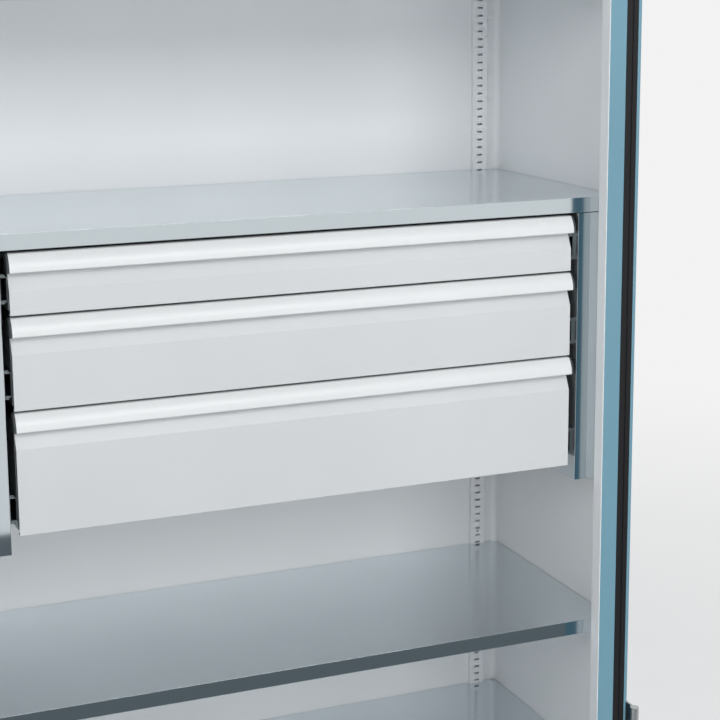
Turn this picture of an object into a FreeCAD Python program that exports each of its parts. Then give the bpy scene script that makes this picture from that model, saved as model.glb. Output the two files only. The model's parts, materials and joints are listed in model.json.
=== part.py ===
import FreeCAD, Part
import math
import os
import Sketcher

# A heavy-duty storage cabinet of folded sheet steel: a double-skinned carcass with
# slotted uprights, four shelves, a hung unit of three full-extension drawers and
# two doors that fold right back along the sides. Millimetres, +Z up, the front
# faces -Y, and the origin lies on the floor under the middle of the whole, with the
# doors folded back.

doc = FreeCAD.newDocument("StorageCabinet")
sizes = doc.addObject("Spreadsheet::Sheet", "Sizes")
sheet_row = 0


class Size:
    """A length that carries the formula which the document keeps for it."""

    def __init__(self, number, formula):
        self.number = number
        self.formula = formula

    def __add__(self, other):
        other = as_size(other)
        return Size(self.number + other.number, f"({self.formula} + {other.formula})")

    def __sub__(self, other):
        other = as_size(other)
        return Size(self.number - other.number, f"({self.formula} - {other.formula})")

    def __mul__(self, other):
        other = as_size(other)
        return Size(self.number * other.number, f"({self.formula} * {other.formula})")

    def __truediv__(self, other):
        other = as_size(other)
        return Size(self.number / other.number, f"({self.formula} / {other.formula})")

    def __neg__(self):
        return Size(-self.number, f"(0 - {self.formula})")


def as_size(value):
    return value if isinstance(value, Size) else Size(float(value), repr(float(value)))


def size(alias, number, meaning):
    """Writes one driving dimension into the sheet and returns it."""
    global sheet_row
    sheet_row += 1
    sizes.set(f"A{sheet_row}", meaning)
    sizes.set(f"B{sheet_row}", str(number))
    sizes.setAlias(f"B{sheet_row}", alias)
    return Size(float(number), f"Sizes.{alias}")


# Overall sizes
cabinet_width = size("cabinet_width", 1200, "outside width of the carcass")
cabinet_height = size("cabinet_height", 1950, "floor to the top of the roof")
carcass_depth = size("carcass_depth", 520, "face of the front posts to the rear face")
foot_height = size("foot_height", 15, "levelling feet under the base")
foot_disc = size("foot_disc", 9, "thickness of a foot's disc")
foot_radius = size("foot_radius", 22, "disc of a foot")
foot_stem = size("foot_stem", 9, "hexagon nut of a foot, centre to corner")
foot_inset = size("foot_inset", 45, "foot to the outside of the base")
base_bar = size("base_bar", 46, "flanges of the base frame")
base_height = size("base_height", 85, "base frame")
floor_thickness = size("floor_thickness", 14, "folded floor panel")
roof_thickness = size("roof_thickness", 30, "roof cap")
wall_thickness = size("wall_thickness", 20, "double-skinned side, outer to inner face")
back_thickness = size("back_thickness", 29, "double-skinned back, outer to inner face")
skin = size("skin", 1.5, "outer sheet")
liner = size("liner", 1.2, "inner sheet")
corner_radius = size("corner_radius", 10, "bend between the inner back and sides")
seat_gap = size("seat_gap", 0.3, "clearance at a seat")
running_gap = size("running_gap", 0.08, "clearance round what turns")

# Front posts with their black edge strip
post_width = size("post_width", 60, "front post, outer face to the opening")
post_depth = size("post_depth", 25.5, "front post, front to back")
strip_width = size("strip_width", 23, "channel for the edge strip")
strip_depth = size("strip_depth", 6, "depth of that channel")
rim_width = size("rim_width", 4, "rim outside the channel")
ridge_offset = size("ridge_offset", 12.7, "inner edge of the strip to its ridge")
ridge_width = size("ridge_width", 2, "ridge of the edge strip")
ridge_rise = size("ridge_rise", 1.5, "ridge in front of the post")
rail_height = size("rail_height", 40, "head rail over the opening")

# Slotted uprights
upright_width = size("upright_width", 31, "rear upright")
upright_raise = size("upright_raise", 9, "upright in front of the inner back")
upright_inset = size("upright_inset", 44.5, "upright centre to the inner side wall")
slot_width = size("slot_width", 10.4, "hanging slot")
slot_tall = size("slot_tall", 3.5, "height of a hanging slot")
slot_pitch = size("slot_pitch", 15.056, "slot to slot")
slot_start = size("slot_start", 32.8, "floor panel to the lowest slot")
hole_radius = size("hole_radius", 2, "fixing hole of an upright")

# Shelves
shelf_sheet = size("shelf_sheet", 1.25, "shelf sheet")
shelf_flange = size("shelf_flange", 26, "front edge of a shelf")
shelf_lip = size("shelf_lip", 15, "lip folded under the front edge")
shelf_gap = size("shelf_gap", 1, "shelf to the walls")
shelf_lower_top = size("shelf_lower_top", 444.5, "top of the lower shelf")
shelf_cover_top = size("shelf_cover_top", 1216, "top of the shelf over the drawers")
shelf_upper_top = size("shelf_upper_top", 1590, "top of the upper shelf")
bracket_width = size("bracket_width", 28, "shelf bracket")
bracket_drop = size("bracket_drop", 42, "height of a shelf bracket")
bracket_ledge = size("bracket_ledge", 30, "ledge of a shelf bracket")
bracket_sheet = size("bracket_sheet", 2, "bracket sheet")
bracket_inset = size("bracket_inset", 6, "front bracket to the opening")

# Drawer unit
drawer_width = size("drawer_width", 973, "drawer front and drawer body")
drawer_depth = size("drawer_depth", 420, "drawer body, front to back")
drawer_clearance = size("drawer_clearance", 14, "drawer body to the housing")
drawer_gap = size("drawer_gap", 4, "gap between drawer fronts")
unit_gap = size("unit_gap", 1, "shelf over the drawers to the top pitch")
first_pitch = size("first_pitch", 100, "height taken by the top drawer")
second_pitch = size("second_pitch", 150, "height taken by the middle drawer")
third_pitch = size("third_pitch", 200, "height taken by the bottom drawer")
housing_skirt = size("housing_skirt", 29, "housing below the bottom drawer")
housing_sheet = size("housing_sheet", 2, "housing plate")
front_sheet = size("front_sheet", 1.25, "drawer sheet")
front_lip = size("front_lip", 12, "lip under a drawer front")
handle_height = size("handle_height", 29, "handle strip")
handle_nose = size("handle_nose", 10, "handle in front of the drawer front")
handle_cap = size("handle_cap", 3.5, "end cap of a handle")
handle_round = size("handle_round", 2, "lower edge of a handle")
handle_bow = size("handle_bow", 40, "bow of a handle's face")
recess_height = size("recess_height", 29, "sloping finger recess under a handle")
recess_depth = size("recess_depth", 13, "depth of that recess")
body_lift = size("body_lift", 6, "drawer body above the edge of its front")
body_short = size("body_short", 25, "drawer body lower than its pitch")
slide_tall = size("slide_tall", 46, "height of a drawer slide")
slide_lift = size("slide_lift", 17, "slide above the edge of its front")
slide_sheet = size("slide_sheet", 1.5, "slide sheet")
slide_setback = size("slide_setback", 13, "slide behind the drawer fronts")
slide_length = size("slide_length", 430, "length of a slide")
slide_play = size("slide_play", 0.4, "running gap in a slide")
slide_lip = size("slide_lip", 9.5, "lips of the fixed slide")
slide_stop = size("slide_stop", 5, "carriage shorter than its slide")
rivet_radius = size("rivet_radius", 2.5, "housing rivet")
rivet_rise = size("rivet_rise", 1, "head of a housing rivet")
rivet_inset = size("rivet_inset", 5, "rivet to the edge of the housing")

# Doors
door_thickness = size("door_thickness", 20, "door")
door_gap = size("door_gap", 2, "closed door to the posts")
door_edge_gap = size("door_edge_gap", 4, "door to the roof lip and to the base lip")
door_side_gap = size("door_side_gap", 1, "folded door to the side, closed door to the strip")
door_middle_gap = size("door_middle_gap", 3, "gap between the closed doors")
door_sheet = size("door_sheet", 1.25, "door sheet")
stop_reach = size("stop_reach", 14.5, "stop strip beyond the edge of its door")
hinge_leaf = size("hinge_leaf", 3, "fixed leaf and foot of a hinge")
pin_forward = size("pin_forward", 10, "hinge pin in front of the posts")
hinge_radius = size("hinge_radius", 8, "hinge barrel")
hinge_pin = size("hinge_pin", 4, "hinge pin radius")
hinge_half = size("hinge_half", 50, "half of a hinge's height")
hinge_plate = size("hinge_plate", 4, "hinge arm")
hinge_low = size("hinge_low", 225, "middle of the lower hinge")
hinge_high = size("hinge_high", 1795, "middle of the upper hinge")
stop_strip = size("stop_strip", 38, "strip behind the gap of the doors")

# Lock
lock_height = size("lock_height", 1050, "middle of the turning grip")
lock_inset = size("lock_inset", 60, "grip to the middle of the closed cabinet")
bowl_radius = size("bowl_radius", 36, "recess of the grip")
bowl_depth = size("bowl_depth", 12, "depth of that recess")
bowl_sheet = size("bowl_sheet", 1.5, "wall of the recess")
grip_length = size("grip_length", 64, "grip bar")
grip_width = size("grip_width", 14, "width of the grip bar")
hub_radius = size("hub_radius", 13, "hub of the grip")
grip_sink = size("grip_sink", 0.4, "grip behind the face of the door")
barrel_radius = size("barrel_radius", 7.7, "lock barrel")
barrel_length = size("barrel_length", 8, "length of the lock barrel")
key_width = size("key_width", 1.6, "key slot")
key_depth = size("key_depth", 3, "depth of the key slot")
guide_inset = size("guide_inset", 180, "rod guide to the end of the door")
guide_wall = size("guide_wall", 2.5, "wall of a rod guide")
spindle_radius = size("spindle_radius", 6, "spindle behind the grip")
cam_reach = size("cam_reach", 14, "lever on the spindle, middle to end")
cam_width = size("cam_width", 14, "width of that lever")
cam_sheet = size("cam_sheet", 2, "thickness of that lever")
rod_width = size("rod_width", 12, "locking rod")
rod_sheet = size("rod_sheet", 3, "thickness of a locking rod")

# Planes that the pieces share
half = cabinet_width / 2
door_ahead = door_gap + door_thickness
pin_aside = door_side_gap + door_ahead - pin_forward
door_reach = half + pin_aside - door_middle_gap / 2 + stop_reach - pin_forward
front = (door_ahead - door_reach) / 2
rear = front + carcass_depth
opening = half - post_width
post_inner = opening + liner
post_back = front + post_depth
lining_back = post_back + liner
wall_inner = half - wall_thickness
back_inner = rear - back_thickness
base_top = foot_height + base_height
floor_top = base_top + floor_thickness
roof_under = cabinet_height - roof_thickness
door_face = front - door_gap
door_front = door_face - door_thickness
shelf_front = lining_back + seat_gap
shelf_rear = back_inner - shelf_gap
shelf_half = wall_inner - shelf_gap
upright_middle = wall_inner - upright_inset
upright_face = back_inner - upright_raise
unit_top = shelf_cover_top - shelf_flange
third_bottom = unit_top - unit_gap - first_pitch - second_pitch - third_pitch
second_bottom = third_bottom + third_pitch
first_bottom = second_bottom + second_pitch
unit_bottom = third_bottom - housing_skirt
housing_inner = drawer_width / 2 + drawer_clearance
drawer_half = drawer_width / 2
box_front = shelf_front + recess_depth + front_sheet
box_rear = box_front + drawer_depth
strip_outer = half - rim_width
strip_inner = strip_outer - strip_width

# The doors stand folded back. A point of the closed door at pin + (a, b) lies at
# pin + (b, -a) on the folded one, so its edge and skins follow from the closed sizes.
closed_edge = strip_inner - door_side_gap
pin_y = front - pin_forward
pin_x = half + pin_aside
door_outer = half + door_side_gap
door_inner = door_outer + door_thickness
door_near = pin_y + (pin_x - closed_edge)
door_far = pin_y + (pin_x - door_middle_gap / 2)
door_bottom = base_top + door_edge_gap
door_top = roof_under - door_edge_gap
lock_y = pin_y + (pin_x - lock_inset)


def bind(thing, name, length):
    """Ties one property of a document object to a formula of the sheet."""
    thing.setExpression(name, as_size(length).formula)


def place(thing, x=None, y=None, z=None):
    """Moves an object by three lengths, each tied to its formula."""
    given = [as_size(0) if part is None else as_size(part) for part in (x, y, z)]
    thing.Placement.Base = FreeCAD.Vector(*[part.number for part in given])
    for axis, part in zip("xyz", given):
        bind(thing, f"Placement.Base.{axis}", part)


def block(label, x, y, z):
    """A box between two lengths along each axis."""
    box = doc.addObject("Part::Box", "Block")
    box.Label = label
    for name, (low, high) in zip(("Length", "Width", "Height"), (x, y, z)):
        setattr(box, name, as_size(high - low).number)
        bind(box, name, as_size(high - low))
    place(box, x[0], y[0], z[0])
    return box


TURNS = {
    "x": FreeCAD.Rotation(FreeCAD.Vector(0, 1, 0), 90),
    "z": FreeCAD.Rotation(),
}


def rod(label, radius, axis, start, length):
    """A cylinder from a start point along X or Z."""
    piece = doc.addObject("Part::Cylinder", "Rod")
    piece.Label = label
    piece.Radius = as_size(radius).number
    piece.Height = as_size(length).number
    bind(piece, "Radius", radius)
    bind(piece, "Height", length)
    piece.Placement.Rotation = TURNS[axis]
    place(piece, *start)
    return piece


def cut(label, base, tool):
    piece = doc.addObject("Part::Cut", "Cut")
    piece.Label = label
    piece.Base = base
    piece.Tool = tool
    return piece


def fuse(label, pieces):
    piece = doc.addObject("Part::MultiFuse", "Fused")
    piece.Label = label
    piece.Shapes = pieces
    return piece


def gather(label, pieces):
    """Separate solids of one kind, kept apart under one name."""
    group = doc.addObject("Part::Compound", "Gathered")
    group.Label = label
    group.Links = pieces
    return group


def mirrored(label, source):
    """The same piece on the other side of the cabinet's middle plane."""
    piece = doc.addObject("Part::Mirroring", "Mirrored")
    piece.Label = label
    piece.Source = source
    piece.Base = FreeCAD.Vector(0, 0, 0)
    piece.Normal = FreeCAD.Vector(1, 0, 0)
    return piece


def pair(label, source):
    return gather(label, [source, mirrored(label + "_other", source)])


def origin_of(body, role):
    return [part for part in body.Origin.OriginFeatures if part.Role == role][0]


def sheet_outline(path, thickness):
    """Turns a path of square bends into the outline of a folded sheet.

    The sheet lies on the left of the path. Each bend moves by one thickness along
    the normals of both of its runs, and each end along the normal of its own run.
    """
    normals = []
    for (x0, y0), (x1, y1) in zip(path, path[1:]):
        dx = as_size(x1).number - as_size(x0).number
        dy = as_size(y1).number - as_size(y0).number
        run = abs(dx) + abs(dy)
        normals.append((-round(dy / run), round(dx / run)))
    inside = []
    for index, (x, y) in enumerate(path):
        before = normals[max(index - 1, 0)]
        after = normals[min(index, len(normals) - 1)]
        together = {before, after}
        nx = sum(normal[0] for normal in together)
        ny = sum(normal[1] for normal in together)
        inside.append((x + thickness * nx, y + thickness * ny))
    return list(path) + inside[::-1]


def draw(sketch, outline):
    """Draws a closed outline and ties every corner to the sheet's sizes.

    A corner is (x, y). A corner (x, y, radius) is reached by an arc that bulges to
    the right of the way from the corner before it, or to the left for "-radius".
    """
    corners = [(as_size(c[0]), as_size(c[1])) for c in outline]
    count = len(outline)
    ends = []
    radii = []
    for index in range(count):
        a = FreeCAD.Vector(corners[index][0].number, corners[index][1].number, 0)
        after = (index + 1) % count
        b = FreeCAD.Vector(corners[after][0].number, corners[after][1].number, 0)
        if len(outline[after]) < 3:
            number = sketch.addGeometry(Part.LineSegment(a, b), False)
            ends.append((number, 1, 2))
            continue
        radius = as_size(outline[after][2])
        reach = abs(radius.number)
        chord = b - a
        side = FreeCAD.Vector(chord.y, -chord.x, 0).normalize()
        if radius.number < 0:
            side = side * -1
        sink = math.sqrt(reach**2 - (chord.Length / 2) ** 2)
        middle = (a + b) * 0.5 + side * (reach - sink)
        arc = Part.Arc(a, middle, b)
        number = sketch.addGeometry(arc, False)
        forward = radius.number > 0
        ends.append((number, 1, 2) if forward else (number, 2, 1))
        radii.append((number, radius if forward else -radius))
    for index in range(count):
        number, first, last = ends[index]
        after, start, _ = ends[(index + 1) % count]
        sketch.addConstraint(Sketcher.Constraint("Coincident", number, last, after, start))
    for index in range(count):
        number, first, last = ends[index]
        for kind, value in zip(("DistanceX", "DistanceY"), corners[index]):
            if value.number == 0 and value.formula == "0.0":
                continue
            tie = Sketcher.Constraint(kind, -1, 1, number, first, value.number)
            at = sketch.addConstraint(tie)
            sketch.setExpression(f"Constraints[{at}]", value.formula)
    for number, radius in radii:
        at = sketch.addConstraint(Sketcher.Constraint("Radius", number, radius.number))
        sketch.setExpression(f"Constraints[{at}]", radius.formula)


PLANES = {"plan": "XY_Plane", "side": "YZ_Plane", "face": "XZ_Plane"}


def profile(label, view, outline, start, end):
    """A section carried straight between two lengths.

    "plan" draws in X, Y and runs along Z; "side" draws in Y, Z and runs along X;
    "face" draws in X, Z and runs along Y.
    """
    body = doc.addObject("PartDesign::Body", "Profile")
    body.Label = label
    sketch = body.newObject("Sketcher::SketchObject", "Section")
    sketch.AttachmentSupport = (origin_of(body, PLANES[view]), [""])
    sketch.MapMode = "FlatFace"
    start = as_size(start)
    end = as_size(end)
    # The normal of the X, Z plane points along -Y, so its offset counts backwards.
    offset = -end if view == "face" else start
    sketch.AttachmentOffset = FreeCAD.Placement(
        FreeCAD.Vector(0, 0, offset.number), FreeCAD.Rotation()
    )
    bind(sketch, "AttachmentOffset.Base.z", offset)
    draw(sketch, outline)
    pad = body.newObject("PartDesign::Pad", "Run")
    pad.Profile = sketch
    pad.Length = (end - start).number
    bind(pad, "Length", end - start)
    body.Tip = pad
    return body


def folded(label, view, path, thickness, start, end):
    """A sheet with square bends, from the path of its outer face."""
    return profile(label, view, sheet_outline(path, thickness), start, end)


# Carcass
side_flange = wall_thickness - liner - seat_gap * 2
side_panel = folded(
    "side_panel_right",
    "plan",
    [
        (half - side_flange, rear),
        (half, rear),
        (half, post_back),
        (half - side_flange, post_back),
    ],
    skin * -1,
    base_top,
    roof_under,
)

post = folded(
    "front_posts_one",
    "plan",
    [
        (post_inner, post_back),
        (post_inner, front),
        (strip_inner, front),
        (strip_inner, front + strip_depth),
        (strip_outer, front + strip_depth),
        (strip_outer, front),
        (half, front),
        (half, post_back),
    ],
    skin,
    base_top,
    roof_under,
)
lining = folded(
    "post_linings_one",
    "plan",
    [(opening, front), (opening, lining_back), (wall_inner, lining_back)],
    -liner,
    floor_top,
    roof_under,
)
ridge_near = strip_inner + ridge_offset
strip = profile(
    "edge_strips_one",
    "plan",
    [
        (strip_inner + seat_gap, front + strip_depth),
        (strip_inner + seat_gap, front),
        (ridge_near, front),
        (ridge_near, front - ridge_rise),
        (ridge_near + ridge_width, front - ridge_rise),
        (ridge_near + ridge_width, front),
        (strip_outer - seat_gap, front),
        (strip_outer - seat_gap, front + strip_depth),
    ],
    base_top,
    roof_under,
)
side_liner = block(
    "side_liners_one",
    (wall_inner, wall_inner + liner),
    (post_back, back_inner - corner_radius),
    (base_top, roof_under),
)
bend_start = wall_inner - corner_radius
bend_end = back_inner - corner_radius
outer_radius = corner_radius + liner
back_liner = profile(
    "back_liner",
    "plan",
    [
        (-bend_start, back_inner, -corner_radius),
        (bend_start, back_inner),
        (wall_inner, bend_end, -corner_radius),
        (wall_inner + liner, bend_end),
        (bend_start, back_inner + liner, outer_radius),
        (-bend_start, back_inner + liner),
        (-(wall_inner + liner), bend_end, outer_radius),
        (-wall_inner, bend_end),
    ],
    base_top,
    roof_under,
)
back_panel = block(
    "back_panel",
    (-(half - skin), half - skin),
    (rear - skin * 2, rear - skin),
    (base_top, roof_under),
)
def back_corners(low, high):
    """What a square corner gives way to at the bends of the back liner."""
    corner = block("Corner", (bend_start, half), (bend_end, rear), (low, high))
    return pair("Corners", corner)


floor_tray = folded(
    "Floor tray",
    "side",
    [
        (post_back, base_top),
        (post_back, floor_top),
        (back_inner, floor_top),
        (back_inner, base_top),
    ],
    -skin,
    -wall_inner,
    wall_inner,
)
floor_panel = cut("floor_panel", floor_tray, back_corners(base_top - 1, floor_top + 1))
sill_rail = folded(
    "sill_rail",
    "side",
    [
        (post_back, base_top),
        (front, base_top),
        (front, floor_top),
        (post_back, floor_top),
    ],
    -skin,
    -opening,
    opening,
)
head_rail = folded(
    "head_rail",
    "side",
    [
        (post_back, roof_under - rail_height),
        (front, roof_under - rail_height),
        (front, roof_under),
        (post_back, roof_under),
    ],
    -skin,
    -opening,
    opening,
)

# The locking rods run inside the right door, behind the lever of the grip. Where the
# closed door puts them, the ceiling and the base have slots for their ends.
cam_start = door_outer + bowl_depth + seat_gap
rod_near = cam_start + cam_sheet + seat_gap
rod_far = rod_near + rod_sheet
keeper_near = pin_y + (rod_near - pin_x) - 2
keeper_far = pin_y + (rod_far - pin_x) + 2
keeper_low = lock_inset - rod_width / 2 - 2
keeper_high = lock_inset + rod_width / 2 + 2


def keeper(low, high):
    return block("Keeper", (keeper_low, keeper_high), (keeper_near, keeper_far), (low, high))


roof_cap = cut(
    "roof_cap",
    block("Roof outside", (-half, half), (door_front, rear), (roof_under, cabinet_height)),
    block(
        "Roof inside",
        (skin - half, half - skin),
        (door_front + skin, rear - skin),
        (roof_under - 1, cabinet_height - skin),
    ),
)
ceiling_panel = cut(
    "ceiling_panel",
    block(
        "Ceiling sheet",
        (skin - half, half - skin),
        (door_front + skin, rear - skin),
        (roof_under, roof_under + skin),
    ),
    keeper(roof_under - 1, roof_under + skin + 1),
)
bar_width = base_bar
base_front = cut(
    "Base front",
    folded(
        "Base front bar",
        "side",
        [
            (door_front + bar_width, foot_height),
            (door_front, foot_height),
            (door_front, base_top),
            (door_front + bar_width, base_top),
        ],
        -skin,
        -half,
        half,
    ),
    keeper(base_top - skin - 1, base_top + 1),
)
base_rear = folded(
    "Base rear bar",
    "side",
    [
        (rear - bar_width, base_top),
        (rear, base_top),
        (rear, foot_height),
        (rear - bar_width, foot_height),
    ],
    -skin,
    -half,
    half,
)
base_side = folded(
    "Base side bar",
    "face",
    [
        (half - bar_width, foot_height),
        (half, foot_height),
        (half, base_top),
        (half - bar_width, base_top),
    ],
    skin,
    door_front + bar_width,
    rear - bar_width,
)
base_frame = gather(
    "base_frame", [base_front, base_rear, base_side, mirrored("Base other bar", base_side)]
)


def foot(y):
    disc = rod("Foot disc", foot_radius, "z", (half - foot_inset, y, 0), foot_disc)
    nut = doc.addObject("Part::Prism", "Nut")
    nut.Label = "Foot nut"
    nut.Polygon = 6
    nut.Circumradius = foot_stem.number
    bind(nut, "Circumradius", foot_stem)
    nut.Height = (foot_height - foot_disc).number
    bind(nut, "Height", foot_height - foot_disc)
    place(nut, half - foot_inset, y, foot_disc)
    return fuse("Foot", [disc, nut])


near_foot = foot(door_front + bar_width / 2)
far_foot = foot(rear - bar_width / 2)
levelling_feet = gather(
    "levelling_feet",
    [near_foot, far_foot, mirrored("Near foot", near_foot), mirrored("Far foot", far_foot)],
)

# A hat section whose face has a ladder of hanging slots and a fixing hole.
upright = folded(
    "uprights_one",
    "plan",
    [
        (upright_middle - upright_width / 2, back_inner),
        (upright_middle - upright_width / 2, upright_face),
        (upright_middle + upright_width / 2, upright_face),
        (upright_middle + upright_width / 2, back_inner),
    ],
    skin,
    floor_top,
    roof_under,
)
doc.recompute()
first_slot = floor_top + slot_start


def face_sketch(body, name):
    """A sketch just in front of the upright's face, seen from the front."""
    sketch = body.newObject("Sketcher::SketchObject", name)
    sketch.AttachmentSupport = (origin_of(body, "XZ_Plane"), [""])
    sketch.MapMode = "FlatFace"
    lift = -(upright_face - 1)
    sketch.AttachmentOffset = FreeCAD.Placement(
        FreeCAD.Vector(0, 0, lift.number), FreeCAD.Rotation()
    )
    bind(sketch, "AttachmentOffset.Base.z", lift)
    return sketch


def pierce(body, name, sketch):
    pocket = body.newObject("PartDesign::Pocket", name)
    pocket.Profile = sketch
    pocket.Length = (skin + 2).number
    bind(pocket, "Length", skin + 2)
    return pocket


slot_sketch = face_sketch(upright, "SlotSection")
slot_left = upright_middle - slot_width / 2
slot_right = upright_middle + slot_width / 2
slot_low = first_slot - slot_tall / 2
slot_high = first_slot + slot_tall / 2
draw(
    slot_sketch,
    [
        (slot_left, slot_low),
        (slot_right, slot_low),
        (slot_right, slot_high),
        (slot_left, slot_high),
    ],
)
slot = pierce(upright, "Slot", slot_sketch)
slot_room = roof_under - floor_top - slot_start * 2
slot_count = int(slot_room.number // slot_pitch.number) + 1
ladder = upright.newObject("PartDesign::LinearPattern", "SlotLadder")
ladder.Originals = [slot]
ladder.Direction = (origin_of(upright, "Z_Axis"), [""])
ladder.Length = slot_pitch.number * (slot_count - 1)
bind(ladder, "Length", slot_pitch * (slot_count - 1))
ladder.Occurrences = slot_count
upright.Tip = ladder
doc.recompute()
hole_sketch = face_sketch(upright, "HoleSection")
# The fixing hole lies half way between two slots.
hole_height = first_slot + slot_pitch * 21.5
centre = FreeCAD.Vector(upright_middle.number, hole_height.number, 0)
normal = FreeCAD.Vector(0, 0, 1)
ring = hole_sketch.addGeometry(Part.Circle(centre, normal, hole_radius.number), False)
for kind, length in (("DistanceX", upright_middle), ("DistanceY", hole_height)):
    at = hole_sketch.addConstraint(Sketcher.Constraint(kind, -1, 1, ring, 3, length.number))
    hole_sketch.setExpression(f"Constraints[{at}]", length.formula)
at = hole_sketch.addConstraint(Sketcher.Constraint("Radius", ring, hole_radius.number))
hole_sketch.setExpression(f"Constraints[{at}]", hole_radius.formula)
hole = pierce(upright, "FixingHole", hole_sketch)
upright.Tip = hole


# Shelves
def shelf(label, top):
    """A tray of folded sheet, open below, notched round the rear uprights."""
    under = top - shelf_flange
    tray = folded(
        label + " tray",
        "side",
        [
            (shelf_front + shelf_lip, under),
            (shelf_front, under),
            (shelf_front, top),
            (shelf_rear, top),
            (shelf_rear, under),
        ],
        -shelf_sheet,
        -shelf_half,
        shelf_half,
    )
    edge = block(
        label + " side",
        (shelf_half - shelf_sheet, shelf_half),
        (shelf_front + shelf_sheet, shelf_rear - shelf_sheet),
        (under, top - shelf_sheet),
    )
    notch = block(
        label + " notch",
        (
            upright_middle - upright_width / 2 - shelf_gap,
            upright_middle + upright_width / 2 + shelf_gap,
        ),
        (upright_face - shelf_gap, back_inner),
        (under - 1, top + 1),
    )
    whole = fuse(label + " sheet", [tray, edge, mirrored(label + " other side", edge)])
    notches = pair(label + " notches", notch)
    corners = back_corners(under - 1, top + 1)
    return cut(label, whole, gather(label + " cuts", [notches, corners]))


def brackets(label, top):
    """Four cranked brackets: two on the rear uprights, two behind the posts."""
    under = top - shelf_flange
    seat = top - shelf_sheet
    back = folded(
        label + " rear",
        "side",
        [
            (upright_face, seat - bracket_drop),
            (upright_face, seat),
            (upright_face - bracket_ledge, seat),
        ],
        bracket_sheet,
        upright_middle - bracket_width / 2,
        upright_middle + bracket_width / 2,
    )
    near = folded(
        label + " front",
        "side",
        [
            (lining_back, under - bracket_drop),
            (lining_back, under),
            (lining_back + bracket_ledge, under),
        ],
        -bracket_sheet,
        opening + bracket_inset,
        opening + bracket_inset + bracket_width,
    )
    return [back, near, mirrored(label + " back two", back), mirrored(label + " near two", near)]


shelf_bottom = shelf("shelf_bottom", floor_top + shelf_flange)
shelf_lower = shelf("shelf_lower", shelf_lower_top)
shelf_cover = shelf("shelf_cover", shelf_cover_top)
shelf_upper = shelf("shelf_upper", shelf_upper_top)
shelf_brackets = gather(
    "shelf_brackets",
    brackets("lower", shelf_lower_top) + brackets("upper", shelf_upper_top),
)

# Drawer housing, with the drawers on its slides
housing = folded(
    "drawer_housing_right",
    "plan",
    [
        (shelf_half, shelf_front),
        (housing_inner, shelf_front),
        (housing_inner, upright_face),
        (upright_middle + upright_width / 2, upright_face),
    ],
    -housing_sheet,
    unit_bottom,
    unit_top,
)


housing_rivets = pair(
    "housing_rivets",
    rod(
        "Rivet",
        rivet_radius,
        "x",
        (housing_inner - rivet_rise, shelf_front + slide_setback / 2, unit_top - rivet_inset),
        rivet_rise,
    ),
)

slide_front = shelf_front + slide_setback
slide_step = slide_sheet + slide_play
carriage_outer = housing_inner - slide_step


def slide_channel(label, web, lip, low, high, end):
    """A channel on its side: its web stands at "web" and its lips reach to "lip"."""
    toward = slide_sheet if web.number > lip.number else -slide_sheet
    return folded(
        label,
        "face",
        [(lip, low), (web, low), (web, high), (lip, high)],
        toward,
        slide_front,
        end,
    )


fixed_slides = []
parts = []


def drawer(name, bottom, pitch):
    """One drawer with its front, handle, body and slides, and its slide carriage."""
    tall = pitch - drawer_gap
    crease = bottom + tall - handle_height - recess_height
    grip = bottom + tall - handle_height
    top = bottom + tall
    inner = shelf_front + front_sheet
    panel = profile(
        f"drawer_{name}_front",
        "side",
        [
            (shelf_front + front_lip, bottom),
            (shelf_front, bottom),
            (shelf_front, crease),
            (shelf_front + recess_depth, grip),
            (box_front, grip),
            (inner, crease),
            (inner, bottom + front_sheet),
            (shelf_front + front_lip, bottom + front_sheet),
        ],
        -drawer_half,
        drawer_half,
    )
    bow = [
        (box_front, grip),
        (shelf_front - handle_nose + handle_round, grip),
        (shelf_front - handle_nose, grip + handle_round, -handle_round),
        (shelf_front + 1, top - 1, -handle_bow),
        (shelf_front + 3, top),
        (box_front, top),
    ]
    handle = profile(f"drawer_{name}_handle", "side", bow, -drawer_half, drawer_half)
    cap = profile(
        f"drawer_{name}_cap", "side", bow, drawer_half, drawer_half + handle_cap
    )
    caps = pair(f"drawer_{name}_caps", cap)
    low = bottom + body_lift
    high = low + pitch - body_short
    wall = block(
        f"{name} wall",
        (drawer_half - front_sheet, drawer_half),
        (box_front, box_rear),
        (low + front_sheet, high),
    )
    across = (front_sheet - drawer_half, drawer_half - front_sheet)
    upward = (low + front_sheet, high)
    box = gather(
        f"drawer_{name}_body",
        [
            block(
                f"{name} base",
                (-drawer_half, drawer_half),
                (box_front, box_rear),
                (low, low + front_sheet),
            ),
            wall,
            mirrored(f"{name} wall other", wall),
            block(f"{name} near", across, (box_front, box_front + front_sheet), upward),
            block(f"{name} back", across, (box_rear - front_sheet, box_rear), upward),
        ],
    )
    under = bottom + slide_lift
    over = under + slide_tall
    fixed = slide_channel(
        f"{name} fixed",
        housing_inner,
        housing_inner - slide_lip,
        under,
        over,
        slide_front + slide_length,
    )
    fixed_slides.extend([fixed, mirrored(f"{name} fixed other", fixed)])
    carriage = slide_channel(
        f"carriage_{name}_one",
        carriage_outer,
        carriage_outer - slide_lip,
        under + slide_step,
        over - slide_step,
        slide_front + slide_length - slide_stop,
    )
    member = slide_channel(
        f"drawer_{name}_slide",
        drawer_half,
        carriage_outer - slide_step,
        under + slide_step * 2,
        over - slide_step * 2,
        box_rear,
    )
    parts.extend(
        [
            panel,
            handle,
            caps,
            box,
            pair(f"drawer_{name}_slides", member),
            pair(f"slide_carriage_{name}", carriage),
        ]
    )


drawer("top", first_bottom, first_pitch)
drawer("middle", second_bottom, second_pitch)
drawer("bottom", third_bottom, third_pitch)
slides_fixed = gather("slides_fixed", fixed_slides)


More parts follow.
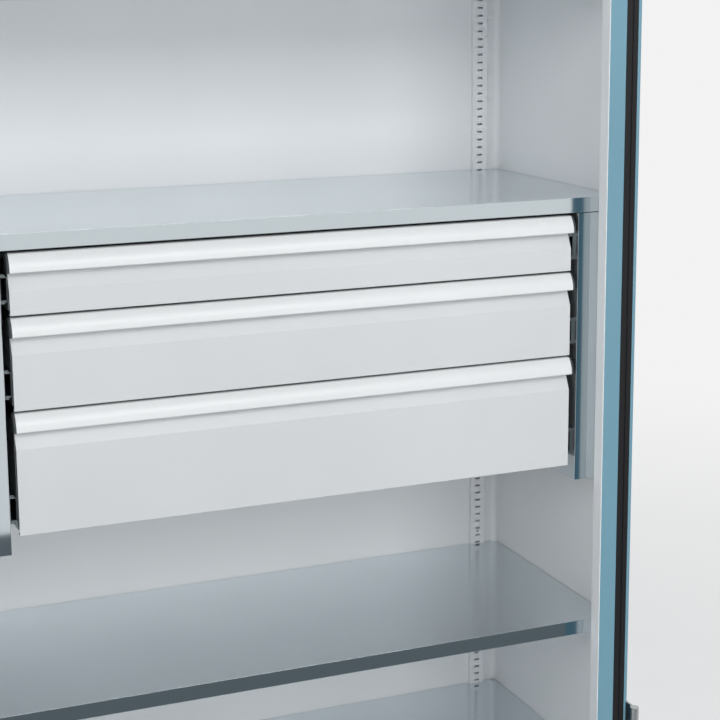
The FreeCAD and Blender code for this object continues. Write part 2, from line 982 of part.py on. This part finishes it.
# Hinges
def hinge(middle):
    """A lift-off hinge: a fixed half with the pin, and the arm of the door."""
    along = (pin_y - hinge_plate / 2, pin_y + hinge_plate / 2)
    low = middle - hinge_half
    high = middle + hinge_half
    fixed = fuse(
        "Hinge fixed",
        [
            block(
                "Hinge leaf",
                (half, half + hinge_leaf),
                (along[0], front + hinge_leaf * 8),
                (low, middle),
            ),
            block("Hinge web", (half, pin_x), along, (low, middle)),
            rod("Hinge barrel", hinge_radius, "z", (pin_x, pin_y, low), hinge_half),
            rod("Hinge pin", hinge_pin, "z", (pin_x, pin_y, low), hinge_half * 2),
        ],
    )
    arm = cut(
        "Hinge arm",
        fuse(
            "Hinge arm blank",
            [
                rod(
                    "Hinge eye",
                    hinge_radius,
                    "z",
                    (pin_x, pin_y, middle + seat_gap),
                    hinge_half - seat_gap,
                ),
                block(
                    "Hinge strap",
                    (pin_x - hinge_plate / 2, pin_x + hinge_plate / 2),
                    (pin_y, door_near),
                    (middle + seat_gap, high),
                ),
                block(
                    "Hinge foot",
                    (door_outer + hinge_leaf, door_inner - hinge_leaf),
                    (door_near - hinge_leaf, door_near),
                    (middle + seat_gap, high),
                ),
            ],
        ),
        rod(
            "Hinge bore",
            hinge_pin + running_gap,
            "z",
            (pin_x, pin_y, middle - 1),
            hinge_half + 2,
        ),
    )
    return fixed, arm


low_fixed, low_arm = hinge(hinge_low)
high_fixed, high_arm = hinge(hinge_high)
hinges_fixed = gather(
    "hinges_fixed",
    [low_fixed, high_fixed, mirrored("Low fixed", low_fixed), mirrored("High fixed", high_fixed)],
)
arms = gather("door_right_hinge_arms", [low_arm, high_arm])


# Doors, folded back along the sides
def door_shell(label):
    return cut(
        label,
        block(
            "Door outside",
            (door_outer, door_inner),
            (door_near, door_far),
            (door_bottom, door_top),
        ),
        block(
            "Door inside",
            (door_outer + door_sheet, door_inner + 1),
            (door_near + door_sheet, door_far - door_sheet),
            (door_bottom + door_sheet, door_top - door_sheet),
        ),
    )


def door_pan(label):
    return block(
        label,
        (door_inner - door_sheet, door_inner),
        (door_near + door_sheet, door_far - door_sheet),
        (door_bottom + door_sheet, door_top - door_sheet),
    )


rod_across = (lock_y - rod_width / 2, lock_y + rod_width / 2)
rod_slit = block(
    "Rod slits",
    (rod_near - seat_gap, rod_far + seat_gap),
    (rod_across[0] - seat_gap, rod_across[1] + seat_gap),
    (door_bottom - 1, door_top + 1),
)
bowl_hole = rod(
    "Bowl hole",
    bowl_radius + seat_gap,
    "x",
    (door_outer - 1, lock_y, lock_height),
    door_sheet + 2,
)
door_right_skin = cut(
    "door_right_skin", door_shell("Right shell"), gather("Right cuts", [rod_slit, bowl_hole])
)
door_left_skin = mirrored("door_left_skin", door_shell("Left shell"))
door_right_pan = door_pan("door_right_pan")
door_left_pan = mirrored("door_left_pan", door_pan("Left pan"))
stop_end = door_far + stop_reach
door_left_stop = mirrored(
    "door_left_stop_strip",
    profile(
        "Stop strip",
        "plan",
        [
            (door_inner, stop_end - stop_strip),
            (door_inner, door_far),
            (door_inner + seat_gap, door_far),
            (door_inner + seat_gap, stop_end),
            (door_inner + skin, stop_end),
            (door_inner + skin, stop_end - stop_strip),
        ],
        door_bottom + stop_strip,
        door_top - stop_strip,
    ),
)
axle = (lock_y, lock_height)
bowl = cut(
    "lock_bowl",
    rod("Bowl outside", bowl_radius, "x", (door_outer, *axle), bowl_depth),
    gather(
        "Bowl cuts",
        [
            rod(
                "Bowl inside",
                bowl_radius - bowl_sheet,
                "x",
                (door_outer - 1, *axle),
                bowl_depth - bowl_sheet + 1,
            ),
            rod(
                "Bowl bore",
                spindle_radius + running_gap,
                "x",
                (door_outer, *axle),
                bowl_depth + 1,
            ),
        ],
    ),
)
guides = []
for height in (door_bottom + guide_inset, door_top - guide_inset):
    guides.append(
        block(
            "Guide",
            (rod_near - guide_wall, door_inner - door_sheet),
            (rod_across[0] - guide_wall, rod_across[1] + guide_wall),
            (height - guide_wall * 4, height + guide_wall * 4),
        )
    )
rod_way = block(
    "Rod way",
    (rod_near - seat_gap, rod_far + seat_gap),
    (rod_across[0] - seat_gap, rod_across[1] + seat_gap),
    (door_bottom, door_top),
)
rod_guides = cut("rod_guides", gather("Guide blocks", guides), rod_way)

# Lock of the right door
grip_start = door_outer + grip_sink
grip_end = door_outer + bowl_depth - bowl_sheet * 2
bar = block(
    "Grip bar",
    (grip_start, grip_end),
    (lock_y - grip_length / 2, lock_y + grip_length / 2),
    (lock_height - grip_width / 2, lock_height + grip_width / 2),
)
lock_grip = cut(
    "lock_grip",
    fuse(
        "Grip whole",
        [
            bar,
            rod("Grip hub", hub_radius, "x", (grip_start, *axle), grip_end - grip_start),
            rod(
                "Spindle",
                spindle_radius,
                "x",
                (grip_start, *axle),
                cam_start + cam_sheet - grip_start,
            ),
            block(
                "Cam lever",
                (cam_start, cam_start + cam_sheet),
                (lock_y - cam_reach, lock_y + cam_reach),
                (lock_height - cam_width / 2, lock_height + cam_width / 2),
            ),
        ],
    ),
    rod(
        "Barrel bore",
        barrel_radius + running_gap,
        "x",
        (grip_start - 1, *axle),
        barrel_length + 1,
    ),
)
lock_barrel = cut(
    "lock_barrel",
    rod("Barrel", barrel_radius, "x", (grip_start, *axle), barrel_length),
    block(
        "Key slot",
        (grip_start - 1, grip_start + key_depth),
        (lock_y - key_width / 2, lock_y + key_width / 2),
        (lock_height - key_width * 2, lock_height + key_width * 2),
    ),
)
rod_upper = block(
    "lock_rod_upper",
    (rod_near, rod_far),
    rod_across,
    (lock_height + spindle_radius, door_top - seat_gap),
)
rod_lower = block(
    "lock_rod_lower",
    (rod_near, rod_far),
    rod_across,
    (door_bottom + seat_gap, lock_height - spindle_radius),
)

parts.extend(
    [
        side_panel,
        mirrored("side_panel_left", side_panel),
        pair("front_posts", post),
        pair("post_linings", lining),
        pair("edge_strips", strip),
        pair("side_liners", side_liner),
        back_liner,
        back_panel,
        floor_panel,
        sill_rail,
        head_rail,
        roof_cap,
        ceiling_panel,
        base_frame,
        levelling_feet,
        pair("uprights", upright),
        shelf_bottom,
        shelf_lower,
        shelf_cover,
        shelf_upper,
        shelf_brackets,
        housing,
        mirrored("drawer_housing_left", housing),
        housing_rivets,
        slides_fixed,
        hinges_fixed,
        arms,
        mirrored("door_left_hinge_arms", arms),
        door_right_skin,
        door_left_skin,
        door_right_pan,
        door_left_pan,
        door_left_stop,
        bowl,
        rod_guides,
        lock_grip,
        lock_barrel,
        rod_upper,
        rod_lower,
    ]
)

doc.recompute()
for thing in doc.Objects:
    if "Invalid" in thing.State or "Error" in thing.State:
        raise RuntimeError(f"{thing.Label} could not be made: {thing.State}")
for part in parts:
    shape = part.Shape
    if shape.isNull() or not shape.isValid() or shape.Volume <= 0:
        raise RuntimeError(f"{part.Label} has no sound solid")

os.makedirs("parts", exist_ok=True)
for part in parts:
    part.Shape.exportStep(os.path.join("parts", part.Label + ".step"))
    print(part.Label, len(part.Shape.Solids), round(part.Shape.Volume))
print(len(parts), "pieces written;", slot_count, "slots in each upright")
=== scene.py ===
# %% [markdown]
# # A sheet-steel storage cabinet
# The cabinet comes as a frame: a finished model in metres, with every piece in its place
# and on its joint. Its shapes could be built again here, but then they might no longer
# fit each other, so this lesson leaves them as they are. It gives each surface the
# finish that it has on a real cabinet, and sets up the floor, the light and the camera.

import json
import math

import bpy
import numpy as np
from mathutils import Matrix, Vector


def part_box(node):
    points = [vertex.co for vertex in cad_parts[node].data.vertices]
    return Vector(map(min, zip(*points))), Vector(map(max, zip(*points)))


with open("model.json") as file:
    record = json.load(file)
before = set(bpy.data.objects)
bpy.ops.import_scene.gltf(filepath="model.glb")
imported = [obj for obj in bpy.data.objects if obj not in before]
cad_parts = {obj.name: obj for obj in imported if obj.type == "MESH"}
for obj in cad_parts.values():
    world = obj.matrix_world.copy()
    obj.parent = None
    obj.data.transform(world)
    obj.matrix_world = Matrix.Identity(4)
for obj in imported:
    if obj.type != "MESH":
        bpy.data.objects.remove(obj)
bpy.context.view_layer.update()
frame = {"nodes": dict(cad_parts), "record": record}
nodes = frame["nodes"]

# %% [markdown]
# ## Finishes are small node trees
# Sheet steel looks like sheet steel because of what its coat does to light, not because
# of its colour. A picture could be wrapped round each piece, but it would stretch and
# blur. A few nodes work out the finish at every point instead. A number that is the
# same all over goes straight onto the shader's socket, and nodes bring only what varies.

# %% Start a finish


def shade(red, green, blue):
    """The shader's linear colour for a colour written as seen on a screen, 0 to 255."""
    seen = np.array([red, green, blue]) / 255.0
    dark = seen / 12.92
    bright = ((seen + 0.055) / 1.055) ** 2.4
    return (*np.where(seen <= 0.04045, dark, bright).tolist(), 1.0)


def new_finish(name, colour, roughness, metallic=0.0):
    """A material with its shader, ready for more nodes. Returns material, tree, shader."""
    material = bpy.data.materials.new(name)
    material.use_nodes = True
    tree = material.node_tree
    shader = tree.nodes["Principled BSDF"]
    shader.inputs["Base Color"].default_value = colour
    shader.inputs["Roughness"].default_value = roughness
    shader.inputs["Metallic"].default_value = metallic
    return material, tree, shader


print("grey 128 on a screen is", round(shade(128, 128, 128)[0], 3), "of full light")

# %% [markdown]
# ## Patterns that stay on the piece
# Nothing that was rolled, painted or moulded is quite even. A pattern could be fixed to
# the room, but then it would slide over a drawer as it opens. Here it is soft noise read
# at Object coordinates, so it travels with its piece. It is faint: two steps of shade
# and a little gloss are enough to keep a big panel from looking like a flat fill.

# %% Patterns
shade_steps = 2.0
noise_low = 0.3
noise_high = 0.7


def place_on_object(tree):
    """Object coordinates, in metres."""
    return tree.nodes.new("ShaderNodeTexCoord").outputs["Object"]


def grain(tree, place, waves, detail=2.0):
    """Soft noise over the surface, in waves per metre. Most of it is from 0.3 to 0.7."""
    noise = tree.nodes.new("ShaderNodeTexNoise")
    noise.inputs["Scale"].default_value = waves
    noise.inputs["Detail"].default_value = detail
    tree.links.new(place, noise.inputs["Vector"])
    return noise.outputs["Fac"]


def drifting_colour(tree, wave, colour, steps=shade_steps):
    """A colour that runs from a few steps darker to a few lighter as the noise rises."""
    ramp = tree.nodes.new("ShaderNodeValToRGB")
    ends = ramp.color_ramp.elements
    ends[0].position = noise_low
    ends[1].position = noise_high
    ends[0].color = shade(*[value - steps for value in colour])
    ends[1].color = shade(*[value + steps for value in colour])
    tree.links.new(wave, ramp.inputs["Fac"])
    return ramp.outputs["Color"]


def between(tree, share, first, second):
    """A plain number: first where the share is zero, second where it is one."""
    spread = tree.nodes.new("ShaderNodeMapRange")
    spread.inputs["To Min"].default_value = first
    spread.inputs["To Max"].default_value = second
    tree.links.new(share, spread.inputs["Value"])
    return spread.outputs["Result"]


print("a drifting colour goes", shade_steps, "steps of 255 to each side")

# %% [markdown]
# ## Edges and skin
# A bend in sheet is round, and a coat has a skin. Both could be put into the mesh, but
# at this size nobody sees them in outline. They show only by the way that light runs
# over them, so two nodes turn the surface's normal and leave the mesh alone.

# %% Round the edges, raise the skin
edge_samples = 4


def soften_edges(tree, radius):
    """A normal that turns smoothly round every sharp edge, as if it had that radius."""
    rounding = tree.nodes.new("ShaderNodeBevel")
    rounding.samples = edge_samples
    rounding.inputs["Radius"].default_value = radius
    return rounding.outputs["Normal"]


def raise_skin(tree, shader, wave, height, normal=None):
    """Bumps the surface by the noise. Height is in metres."""
    bump = tree.nodes.new("ShaderNodeBump")
    bump.inputs["Strength"].default_value = 1.0
    bump.inputs["Distance"].default_value = height
    tree.links.new(wave, bump.inputs["Height"])
    if normal is not None:
        tree.links.new(normal, bump.inputs["Normal"])
    tree.links.new(bump.outputs["Normal"], shader.inputs["Normal"])


print("rays that look for an edge near each point:", edge_samples)

# %% [markdown]
# ## Powder coat
# The walls, fronts and handles have a stoved powder coat. Melted powder never lies
# quite flat: it keeps a fine orange-peel skin, which breaks up reflections without
# showing as a texture. A rougher shader alone would blur them evenly, as matt paint
# does, so the skin is a bump of a hundredth of a millimetre on a fairly glossy coat.

# %% The powder coats
cloud_waves = 3.0
coat_drift = 0.03
peel_waves = 900.0
peel_height = 0.00001
coated_edge = 0.0008


def powder_coat(name, colour, roughness):
    """A coat whose shade and gloss drift in wide clouds, under a fine skin."""
    material, tree, shader = new_finish(name, shade(*colour), roughness)
    place = place_on_object(tree)
    cloud = grain(tree, place, cloud_waves)
    tree.links.new(drifting_colour(tree, cloud, colour), shader.inputs["Base Color"])
    gloss = between(tree, cloud, roughness - coat_drift, roughness + coat_drift)
    tree.links.new(gloss, shader.inputs["Roughness"])
    peel = grain(tree, place, peel_waves, 1.0)
    raise_skin(tree, shader, peel, peel_height, soften_edges(tree, coated_edge))
    return material


light_grey_coat = powder_coat("light_grey_coat", (240, 242, 244), 0.38)
# Painted shade: the drawer fronts are the same grey paint as the walls, but their copy is set
# darker, for the stronger light that falls on them.
front_grey_painted_darker = powder_coat("drawer_front_grey_painted_darker", (198, 201, 203), 0.36)
handle_coat = powder_coat("handle_coat", (214, 216, 217), 0.30)
blue_coat = powder_coat("blue_coat", (104, 146, 163), 0.40)
coats = [light_grey_coat, front_grey_painted_darker, handle_coat, blue_coat]
print("powder coats:", [coat.name for coat in coats])

# %% [markdown]
# ## Zinc
# The drawer bodies, slides, hinges and rods are bare zinc-coated steel. A plain grey
# would look like paint. Zinc takes its brightness from what it reflects, so it is a
# metal in the shader, and its gloss drifts where the zinc froze in soft patches. The
# barrel of the lock is polished, and the same function makes it, with less roughness.

# %% The plain metals
patch_waves = 5.0
bent_edge = 0.0012


def zinc_sheet(name, colour, glossy, dull):
    """A metal whose shade and gloss drift in wide soft patches."""
    material, tree, shader = new_finish(name, shade(*colour), (glossy + dull) / 2, 1.0)
    patches = grain(tree, place_on_object(tree), patch_waves)
    tree.links.new(drifting_colour(tree, patches, colour), shader.inputs["Base Color"])
    tree.links.new(between(tree, patches, glossy, dull), shader.inputs["Roughness"])
    tree.links.new(soften_edges(tree, bent_edge), shader.inputs["Normal"])
    return material


galvanised_sheet = zinc_sheet("galvanised_sheet", (199, 204, 206), 0.34, 0.44)
slide_zinc = zinc_sheet("slide_zinc", (142, 151, 154), 0.3, 0.4)
plated_steel = zinc_sheet("plated_steel", (186, 190, 190), 0.30, 0.42)
polished_lock = zinc_sheet("polished_lock", (215, 216, 218), 0.08, 0.14)
metals = [galvanised_sheet, slide_zinc, plated_steel, polished_lock]
print("metals:", [metal.name for metal in metals])

# %% [markdown]
# ## Sheet with a folded edge
# The shelves and the side plates of the drawer unit are galvanised sheet with their
# front edge folded over. The press draws that edge smooth, so it mirrors sharply, and
# the face behind it keeps the duller skin of the coil. Two materials on one mesh would
# need its faces sorted. It's simpler to let one material ask how deep each point lies,
# and to change over just behind the front plane, which comes from the frame.

# %% Helpers for two looks in one material


def set_or_link(tree, value, socket):
    """Links a node's output to the socket, or puts a plain value onto it."""
    if isinstance(value, bpy.types.NodeSocket):
        tree.links.new(value, socket)
    else:
        socket.default_value = value


def mix_colours(tree, share, first, second):
    """First where the share is zero, second where it is one."""
    blend = tree.nodes.new("ShaderNodeMix")
    blend.data_type = "RGBA"
    tree.links.new(share, blend.inputs[0])
    set_or_link(tree, first, blend.inputs[6])
    set_or_link(tree, second, blend.inputs[7])
    return blend.outputs[2]


def past(tree, place, axis, low, high):
    """Zero before low and one past high, along an axis of the piece, in metres."""
    parts = tree.nodes.new("ShaderNodeSeparateXYZ")
    tree.links.new(place, parts.inputs["Vector"])
    step = tree.nodes.new("ShaderNodeMapRange")
    step.inputs["From Min"].default_value = low
    step.inputs["From Max"].default_value = high
    tree.links.new(parts.outputs[axis], step.inputs["Value"])
    return step.outputs["Result"]


sheet_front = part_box("shelf_cover")[0][1]
unit_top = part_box("drawer_housing_right")[1][2]
print("front plane:", round(sheet_front, 4), "top of the drawer unit:", round(unit_top, 4))

# %% [markdown]
# ## Shelves and side plates
# The faces of the shelves are the brighter of the two. The side plates stand close
# beside the drawers, and as they are mostly metal, they go dark where they mirror the
# unlit gap. The cover shelf lies on them. A groove could be cut to make a real shadow
# there, but the shapes of the frame stay as they are, so the material paints a thin dark
# line just under the shelf: a painted shadow.

# %% The folded sheets
edge_depth = 0.0010
edge_blend = 0.0005
# The painted shadow line under the cover shelf: its depth, its blend and its colour.
painted_shadow_depth = 0.0012
painted_shadow_blend = 0.0004
painted_shadow_colour = (0.02, 0.025, 0.03, 1.0)


def folded_zinc(name, edge, face, edge_gloss, face_gloss, face_metal, painted_shadow_top=None):
    """Zinc with one colour and gloss on its front edge and another on its faces.

    Given a height, a dark line is painted just below it: painted shadow of the piece above.
    """
    material, tree, shader = new_finish(name, shade(*face), face_gloss, 1.0)
    place = place_on_object(tree)
    edge_end = sheet_front + edge_depth
    behind = past(tree, place, "Y", edge_end, edge_end + edge_blend)
    face_colour = drifting_colour(tree, grain(tree, place, patch_waves), face)
    colour = mix_colours(tree, behind, shade(*edge), face_colour)
    # Painted shadow: a dark band just below the given height, where the cover shelf lies.
    if painted_shadow_top is not None:
        painted_shadow_end = painted_shadow_top - painted_shadow_depth
        in_painted_shadow = past(tree, place, "Z", painted_shadow_end - painted_shadow_blend, painted_shadow_end)
        colour = mix_colours(tree, in_painted_shadow, colour, painted_shadow_colour)
    tree.links.new(colour, shader.inputs["Base Color"])
    tree.links.new(between(tree, behind, edge_gloss, face_gloss), shader.inputs["Roughness"])
    tree.links.new(between(tree, behind, 1.0, face_metal), shader.inputs["Metallic"])
    tree.links.new(soften_edges(tree, bent_edge), shader.inputs["Normal"])
    return material


shelf_zinc = folded_zinc(
    "shelf_zinc",
    edge=(203, 212, 216),
    face=(222, 230, 234),
    edge_gloss=0.05,
    face_gloss=0.17,
    face_metal=0.92,
)
housing_zinc = folded_zinc(
    "housing_zinc",
    edge=(200, 209, 213),
    face=(200, 207, 210),
    edge_gloss=0.04,
    face_gloss=0.16,
    face_metal=0.78,
    # A painted shadow line, just below the top of the drawer unit.
    painted_shadow_top=unit_top,
)
print("folded sheets:", shelf_zinc.name, housing_zinc.name)

# %% [markdown]
# ## Rubber and plastic
# The strips on the posts are dull black, and the caps that close the ends of the
# handles are dark moulded plastic, as are the feet and the lock's bowl. A mould is
# spark-eroded, so what comes out of it has a fine even texture and hardly any shine. A
# rough shader gives the dullness, and only fine noise under it gives the texture.

# %% The rubber and the plastics
mould_waves = 2200.0
mould_height = 0.00002
mottle_waves = 40.0
moulded_drift = 0.05
moulded_shine = 0.25


def moulded(name, colour, roughness):
    """A plastic or rubber with a fine moulded texture."""
    material, tree, shader = new_finish(name, shade(*colour), roughness)
    shader.inputs["Specular IOR Level"].default_value = moulded_shine
    place = place_on_object(tree)
    raise_skin(tree, shader, grain(tree, place, mould_waves), mould_height)
    mottling = grain(tree, place, mottle_waves)
    gloss = between(tree, mottling, roughness - moulded_drift, roughness + moulded_drift)
    tree.links.new(gloss, shader.inputs["Roughness"])
    return material


black_rubber = moulded("black_rubber", (26, 26, 28), 0.55)
cap_plastic = moulded("cap_plastic", (58, 62, 65), 0.5)
black_plastic = moulded("black_plastic", (30, 30, 32), 0.45)
print("moulded:", [black_rubber.name, cap_plastic.name, black_plastic.name])

# %% [markdown]
# ## Which piece has which finish
# Every piece of the frame names a slot of the record. Finishes could be handed out
# piece by piece, but one table from slots to finishes dresses the whole cabinet, so no
# piece can be forgotten. A few families of pieces take another finish than the rest of
# their slot, and their names say which they are. The drawer fronts take a darker copy of
# the grey paint of the walls: painted shade, for the stronger light that falls on them.

# %% Dress the frame
finish_of_slot = {
    "grey_paint": light_grey_coat,
    "blue_paint": blue_coat,
    "galvanised": galvanised_sheet,
    "zinc": plated_steel,
    "black_strip": black_rubber,
    "cap_plastic": cap_plastic,
    "black_plastic": black_plastic,
    "chrome": polished_lock,
}
slot_of_node = {
    entry["node"]: entry["material_slot"] for entry in frame["record"]["subparts"]
}


def finish_for(name):
    """The finish of a piece: its family's, or else its slot's."""
    # Painted shade: the fronts take the darker copy of the grey paint.
    if name.startswith("drawer_") and name.endswith("_front"):
        return front_grey_painted_darker
    if name.startswith("drawer_") and name.endswith("_handle"):
        return handle_coat
    if name.startswith("drawer_housing"):
        return housing_zinc
    if name.startswith("shelf_") and name != "shelf_brackets":
        return shelf_zinc
    if name.startswith("slide") or name.endswith("_slides"):
        return slide_zinc
    return finish_of_slot[slot_of_node[name]]


for name, piece in nodes.items():
    finish = finish_for(name)
    if not piece.data.materials:
        piece.data.materials.append(finish)
    for slot in piece.material_slots:
        slot.material = finish
print("dressed:", len(nodes))

# %% [markdown]
# ## A white that doesn't light the cabinet
# The backdrop has to look nearly white, but a world as bright as that would wash out
# the inside of the cupboard. A Light Path node tells what kind of ray asks. The camera,
# and whatever mirrors the surroundings, gets the white. The rays that light the
# surfaces get a softer sky.

# %% Ask what kind of ray it is
backdrop_white = (0.89, 0.89, 0.89, 1.0)


def calculate(tree, operation, first, second):
    """One number from two others, by a Math node."""
    result = tree.nodes.new("ShaderNodeMath")
    result.operation = operation
    tree.links.new(first, result.inputs[0])
    tree.links.new(second, result.inputs[1])
    return result.outputs["Value"]


def sees_background(tree):
    """One for a ray from the camera or from something glossy or clear, otherwise zero."""
    rays = tree.nodes.new("ShaderNodeLightPath").outputs
    mirrored = calculate(tree, "MAXIMUM", rays["Is Camera Ray"], rays["Is Glossy Ray"])
    return calculate(tree, "MAXIMUM", mirrored, rays["Is Transmission Ray"])


def mix_shaders(tree, share, first, second, output):
    """Shows the first shader where the share is zero and the second where it is one."""
    blend = tree.nodes.new("ShaderNodeMixShader")
    tree.links.new(share, blend.inputs["Fac"])
    tree.links.new(first, blend.inputs[1])
    tree.links.new(second, blend.inputs[2])
    tree.links.new(blend.outputs["Shader"], output.inputs["Surface"])


print("the backdrop is", backdrop_white[0], "of full light")

# %% [markdown]
# ## Floor
# The floor is a plain pale sheet. A floor with a texture would be nicer by itself, but
# it would draw the eye from the cabinet. It has no shine either, because it would
# mirror the card that the step on flags lays on it.

# %% The floor
floor_reach = 30.0
signs = [(-1, -1), (1, -1), (1, 1), (-1, 1)]
floor_corners = [(across * floor_reach, along * floor_reach, 0) for across, along in signs]
floor_mesh = bpy.data.meshes.new("studio_floor")
floor_mesh.from_pydata(floor_corners, [], [(0, 1, 2, 3)])
studio_floor = bpy.data.objects.new("studio_floor", floor_mesh)
bpy.context.scene.collection.objects.link(studio_floor)

floor_colour = (231, 232, 233)
floor_waves = 6.0
floor_finish, floor_tree, floor_shader = new_finish("pale_floor", shade(*floor_colour), 0.7)
floor_shader.inputs["Specular IOR Level"].default_value = 0.0
floor_place = place_on_object(floor_tree)
speckle = grain(floor_tree, floor_place, floor_waves)
floor_drift = drifting_colour(floor_tree, speckle, floor_colour, steps=1.0)
floor_tree.links.new(floor_drift, floor_shader.inputs["Base Color"])
floor_mesh.materials.append(floor_finish)
print("the floor reaches", floor_reach, "m to each side")

# %% [markdown]
# ## Floor without an end
# A studio floor runs up into the wall in a wide curve, so that no horizon is in view.
# The curve could be modelled, but it would show in views from other sides. A fade does
# it for every side: near the cabinet the floor shows its own light and shadow, and with
# the distance it turns very gently into the white of the backdrop.

# %% Fade the floor
fade_start = 0.6
fade_end = 4.0
least_white = 0.45
distance = floor_tree.nodes.new("ShaderNodeVectorMath")
distance.operation = "LENGTH"
floor_tree.links.new(floor_place, distance.inputs[0])
fade = floor_tree.nodes.new("ShaderNodeMapRange")
fade.interpolation_type = "SMOOTHSTEP"
fade.inputs["From Min"].default_value = fade_start
fade.inputs["From Max"].default_value = fade_end
fade.inputs["To Min"].default_value = least_white
floor_tree.links.new(distance.outputs["Value"], fade.inputs["Value"])
seen = sees_background(floor_tree)
white_share = calculate(floor_tree, "MULTIPLY", seen, fade.outputs["Result"])
glow = floor_tree.nodes.new("ShaderNodeEmission")
glow.inputs["Color"].default_value = backdrop_white
mix_shaders(
    floor_tree,
    white_share,
    floor_shader.outputs["BSDF"],
    glow.outputs["Emission"],
    floor_tree.nodes["Material Output"],
)
print("the floor fades from", fade_start, "to", fade_end, "m")

# %% [markdown]
# ## World
# The world is a sky without a picture: one soft colour for the light, and the white of
# the backdrop for the eye. A photographed sky would put a strange room into every
# shelf edge.

# %% The world
sky_strength = 0.42
world = bpy.data.worlds.new("studio")
bpy.context.scene.world = world
world.use_nodes = True
world_tree = world.node_tree
sky = world_tree.nodes["Background"]
sky.inputs["Color"].default_value = shade(238, 240, 242)
sky.inputs["Strength"].default_value = sky_strength
white = world_tree.nodes.new("ShaderNodeBackground")
white.inputs["Color"].default_value = backdrop_white
white.inputs["Strength"].default_value = 1.0
mix_shaders(
    world_tree,
    sees_background(world_tree),
    sky.outputs["Background"],
    white.outputs["Background"],
    world_tree.nodes["World Output"],
)
print("strength of the sky:", sky_strength)

# %% [markdown]
# ## Light
# A deep cupboard is only as bright inside as the light that gets in through its front.
# One lamp would reach the upper bays and leave the lower ones dark, so a high and a low
# one stand in front. Three more, at the left, at the right and behind, keep the outside
# readable. All are large, because a small lamp makes a hard shadow.

# %% The lamps
aim_high = (0, 0, 1.1)
aim_middle = (0, 0, 1.0)
aim_low = (0, 0, 0.9)


def soft_light(name, place, aim, size, watts, mirrored=False):
    """A rectangular area light at a place, turned to face a point.

    Metal shows a lamp as a hard white patch, so only the high one is left mirrored. It
    draws the soft bright line along the rounded handles.
    """
    lamp = bpy.data.lights.new(name, "AREA")
    lamp.shape = "RECTANGLE"
    lamp.size, lamp.size_y = size
    lamp.energy = watts
    holder = bpy.data.objects.new(name, lamp)
    holder.location = place
    holder.rotation_euler = (Vector(aim) - Vector(place)).to_track_quat("-Z", "Y").to_euler()
    holder.visible_glossy = mirrored
    bpy.context.scene.collection.objects.link(holder)
    print(name, watts, "W")


soft_light("high_front_light", (0.6, -4.2, 2.9), aim_high, size=(3.0, 1.4), watts=60, mirrored=True)
soft_light("low_front_light", (0.5, -4.4, 1.1), aim_low, size=(3.0, 1.2), watts=32)
soft_light("left_light", (-3.8, -2.4, 2.0), aim_middle, size=(2.0, 2.4), watts=46)
soft_light("right_light", (3.4, -2.5, 2.2), aim_middle, size=(2.0, 2.4), watts=44)
soft_light("back_light", (0.3, 4.4, 2.6), aim_middle, size=(3.0, 2.4), watts=75)

# %% [markdown]
# ## Flags
# Bare metal has hardly a colour of its own: it shows its surroundings. In a studio that
# is all white it would look like plain paint, so photographers stand dark cards, called
# flags, where the metal mirrors them. A narrow pair stands in front, a little past the
# right side, for the dark line at the ends of the shelf edges, and one lies just over
# the floor in front, for the lower edges. Only reflections see them, and they cast no
# shadow.

# %% The flags
pair_depth = -0.791
pair_height = 1.9
dark_left = 0.7826
dark_right = 0.8114
grey_right = 0.8294
card_lift = 0.004


def flag(name, corners, colour):
    """A card through four corners that glows faintly, and that only reflections see."""
    card_mesh = bpy.data.meshes.new(name)
    card_mesh.from_pydata(corners, [], [(0, 1, 2, 3)])
    card = bpy.data.objects.new(name, card_mesh)
    bpy.context.scene.collection.objects.link(card)
    paper, tree, shader = new_finish(name + "_card", (0.0, 0.0, 0.0, 1.0), 1.0)
    shader.inputs["Emission Color"].default_value = (*colour, 1.0)
    shader.inputs["Emission Strength"].default_value = 1.0
    card_mesh.materials.append(paper)
    card.visible_camera = False
    card.visible_diffuse = False
    card.visible_shadow = False
    card.visible_transmission = False
    print(name, "glows", colour)


def upright_card(left, right):
    """The corners of an upright card of the pair."""
    foot = [(left, pair_depth, 0.0), (right, pair_depth, 0.0)]
    return foot + [(right, pair_depth, pair_height), (left, pair_depth, pair_height)]


def lying_card(left, right, front, back):
    """The corners of a card that lies just over the floor."""
    near = [(left, front, card_lift), (right, front, card_lift)]
    return near + [(right, back, card_lift), (left, back, card_lift)]


front_card = lying_card(left=-1.6, right=2.6, front=-2.5, back=-0.75)
flag("dark_flag", upright_card(dark_left, dark_right), (0.055, 0.125, 0.170))
flag("grey_flag", upright_card(dark_right, grey_right), (0.39, 0.43, 0.45))
flag("front_flag", front_card, (0.095, 0.118, 0.132))

# %% [markdown]
# ## Camera
# The photograph looks at the cabinet from the front left at about head height. The
# camera stands where the drawers, shelves and the post line up with it. A level camera
# would need a large shift, which cuts off every other view of the cabinet, so this one
# is tilted down and keeps its shift small.

# %% The camera
sensor = 36.0
frame_pixels = 720.0
focal_pixels = 1713.0
shift_up = -0.10
camera_place = (-0.971, -2.840, 1.599)
yaw, pitch, roll = math.radians(22.44), math.radians(10.40), math.radians(-0.40)

camera_data = bpy.data.cameras.new("photo_camera")
camera_data.sensor_width = sensor
camera_data.lens = focal_pixels / frame_pixels * sensor
camera_data.shift_y = shift_up
camera = bpy.data.objects.new("photo_camera", camera_data)
camera.location = camera_place
forward = Vector(
    (math.sin(yaw) * math.cos(pitch), math.cos(yaw) * math.cos(pitch), -math.sin(pitch))
)
level = Vector((math.cos(yaw), -math.sin(yaw), 0.0))
above = level.cross(forward)
side = level * math.cos(roll) + above * math.sin(roll)
top = above * math.cos(roll) - level * math.sin(roll)
camera.rotation_euler = Matrix((side, top, -forward)).transposed().to_euler()
bpy.context.scene.collection.objects.link(camera)
bpy.context.scene.camera = camera
bpy.context.scene.view_settings.view_transform = "Standard"
print("lens:", round(camera_data.lens, 2), "mm")
